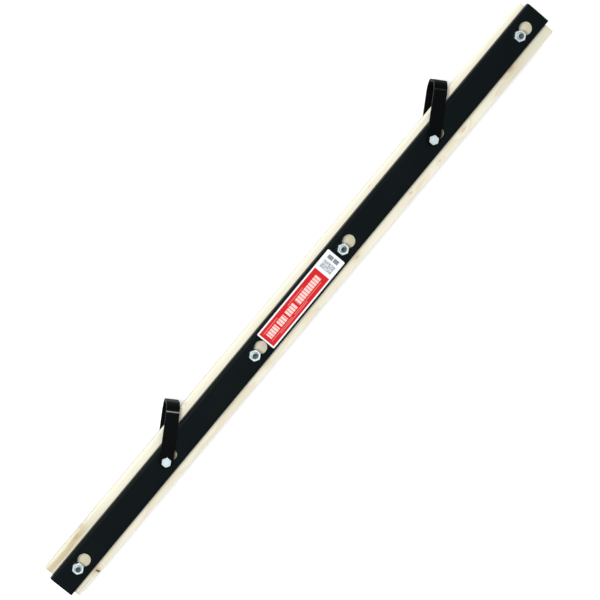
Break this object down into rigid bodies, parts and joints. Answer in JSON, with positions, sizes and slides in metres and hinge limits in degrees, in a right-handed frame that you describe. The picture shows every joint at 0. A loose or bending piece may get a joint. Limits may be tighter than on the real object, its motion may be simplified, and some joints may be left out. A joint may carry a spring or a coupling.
{
  "type": "woven wire fence stretcher bar",
  "caption": "Long clamp bar of two steel channels and a wooden board that grips woven wire, with bolts and nuts to close it and two swinging strap bails to pull it by.",
  "frame": {"origin": "the middle of the bar: half way along it, on the line of the bolts, at the middle of the jaw board's thickness", "axes": "+X along the bar, +Y toward the side that the bails swing to and the chain pulls from, +Z out of the front channel"},
  "size_m": [1.219, 0.1031, 0.0904],
  "materials": {
    "channel_paint": "satin black enamel on pressed steel",
    "strap_paint": "satin black enamel on flat steel strap",
    "pine": "planed bare pine",
    "label_film": "printed film, red and white",
    "zinc": "bright zinc plated steel"
  },
  "bodies": {
    "back_frame": {"rear_channel": "channel_paint", "jaw_board": "pine", "clamp_bolt_1": "zinc", "clamp_bolt_2": "zinc", "clamp_bolt_3": "zinc", "clamp_bolt_4": "zinc"},
    "bail_pins": {"bail_bolt_left": "zinc", "bail_washer_left": "zinc", "bail_nut_left": "zinc", "bail_bolt_right": "zinc", "bail_washer_right": "zinc", "bail_nut_right": "zinc"},
    "front_jaw": {"front_channel": "channel_paint", "label": "label_film"},
    "clamp_nut_1": {"clamp_nut_1": "zinc"},
    "clamp_nut_2": {"clamp_nut_2": "zinc"},
    "clamp_nut_3": {"clamp_nut_3": "zinc"},
    "clamp_nut_4": {"clamp_nut_4": "zinc"},
    "bail_left": {"bail_left": "strap_paint"},
    "bail_right": {"bail_right": "strap_paint"}
  },
  "joints": [
    {"name": "clamp_open", "type": "slide", "parent": "back_frame", "child": "bail_pins", "axis": [0, 0, 1], "range_m": [0, 0.006]},
    {"name": "keyhole_shift", "type": "slide", "parent": "bail_pins", "child": "front_jaw", "axis": [1, 0, 0], "range_m": [-0.0155, 0]},
    {"name": "nut_1_turn", "type": "hinge", "parent": "bail_pins", "child": "clamp_nut_1", "pos_m": [-0.5675, 0, 0.0308], "axis": [0, 0, 1], "range_deg": [0, 1191]},
    {"name": "nut_2_turn", "type": "hinge", "parent": "bail_pins", "child": "clamp_nut_2", "pos_m": [-0.1165, 0, 0.0308], "axis": [0, 0, 1], "range_deg": [0, 1191]},
    {"name": "nut_3_turn", "type": "hinge", "parent": "bail_pins", "child": "clamp_nut_3", "pos_m": [0.1085, 0, 0.0308], "axis": [0, 0, 1], "range_deg": [0, 1191]},
    {"name": "nut_4_turn", "type": "hinge", "parent": "bail_pins", "child": "clamp_nut_4", "pos_m": [0.5595, 0, 0.0308], "axis": [0, 0, 1], "range_deg": [0, 1191]},
    {"name": "bail_left_swing", "type": "hinge", "parent": "bail_pins", "child": "bail_left", "pos_m": [-0.3425, 0, 0.0258], "axis": [0, 0, 1], "range_deg": [0, 116]},
    {"name": "bail_right_swing", "type": "hinge", "parent": "bail_pins", "child": "bail_right", "pos_m": [0.3395, 0, 0.0258], "axis": [0, 0, 1], "range_deg": [0, 116]}
  ],
  "couplings": [
    {"joint": "nut_1_turn", "follows": "clamp_open", "rad_per_m": 3463.2},
    {"joint": "nut_2_turn", "follows": "clamp_open", "rad_per_m": 3463.2},
    {"joint": "nut_3_turn", "follows": "clamp_open", "rad_per_m": 3463.2},
    {"joint": "nut_4_turn", "follows": "clamp_open", "rad_per_m": 3463.2}
  ]
}
